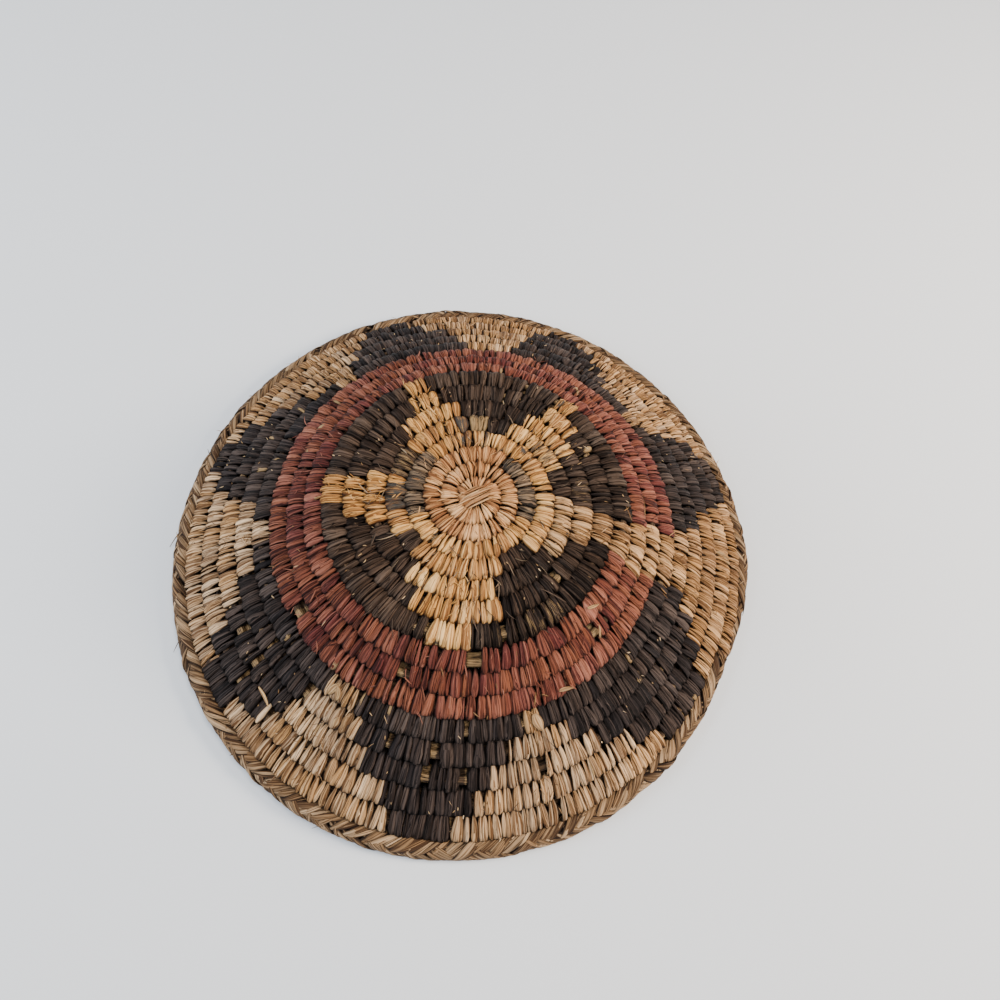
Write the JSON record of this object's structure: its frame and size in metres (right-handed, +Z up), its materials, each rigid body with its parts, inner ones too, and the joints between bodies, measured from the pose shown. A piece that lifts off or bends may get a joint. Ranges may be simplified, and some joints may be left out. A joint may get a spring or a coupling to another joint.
{
  "type": "coiled ceremonial basket",
  "caption": "Shallow round coiled basket with a dark star, a red band cut by an undyed pathway, dark stepped triangles and a braided rim, stored rim down.",
  "frame": {"origin": "middle of the basket's footprint, on the surface that its rim rests on", "axes": "+Z up along the coil's axis, from the rim to the crown; -Y towards the side nearest the viewer in the picture; the pathway points to +X"},
  "size_m": [0.2206, 0.2206, 0.055],
  "materials": {
    "undyed_splint": "satin split twig, undyed",
    "dark_splint": "satin split twig, dyed dark brown-black",
    "red_splint": "satin split twig, dyed orange-red",
    "faded_splint": "satin split twig, faded grey-brown",
    "rim_splint": "satin split twig, braided",
    "foundation_rods": "peeled rods",
    "knot_strip": "flat split twig"
  },
  "bodies": {
    "root": {"centre_wrap": "undyed_splint", "dark_triangle_1": "dark_splint", "dark_triangle_2": "dark_splint", "dark_triangle_3": "dark_splint", "dark_triangle_4": "dark_splint", "dark_triangle_5": "dark_splint", "dark_triangle_6": "dark_splint", "dark_triangle_7": "dark_splint", "faded_wrap_1": "faded_splint", "faded_wrap_2": "faded_splint", "fourth_row_wrap_1": "undyed_splint", "fourth_row_wrap_2": "undyed_splint", "pathway": "undyed_splint", "red_row_1": "red_splint", "red_row_2": "red_splint", "red_row_3": "red_splint", "rim_braid": "rim_splint", "rod_bundle_1": "foundation_rods", "rod_bundle_2": "foundation_rods", "rod_bundle_3": "foundation_rods", "rod_bundle_4": "foundation_rods", "rod_bundle_5": "foundation_rods", "rod_bundle_6": "foundation_rods", "rod_bundle_7": "foundation_rods", "rod_bundle_8": "foundation_rods", "rod_bundle_9": "foundation_rods", "star_field_1": "dark_splint", "star_field_2": "dark_splint", "star_field_3": "dark_splint", "star_field_4": "dark_splint", "star_field_5": "dark_splint", "star_point_1": "undyed_splint", "star_point_2": "undyed_splint", "star_point_3": "undyed_splint", "star_point_4": "undyed_splint", "start_knot": "knot_strip", "tan_field_1": "undyed_splint", "tan_field_2": "undyed_splint", "tan_field_3": "undyed_splint", "tan_field_4": "undyed_splint", "tan_field_5": "undyed_splint", "tan_field_6": "undyed_splint"}
  },
  "joints": []
}
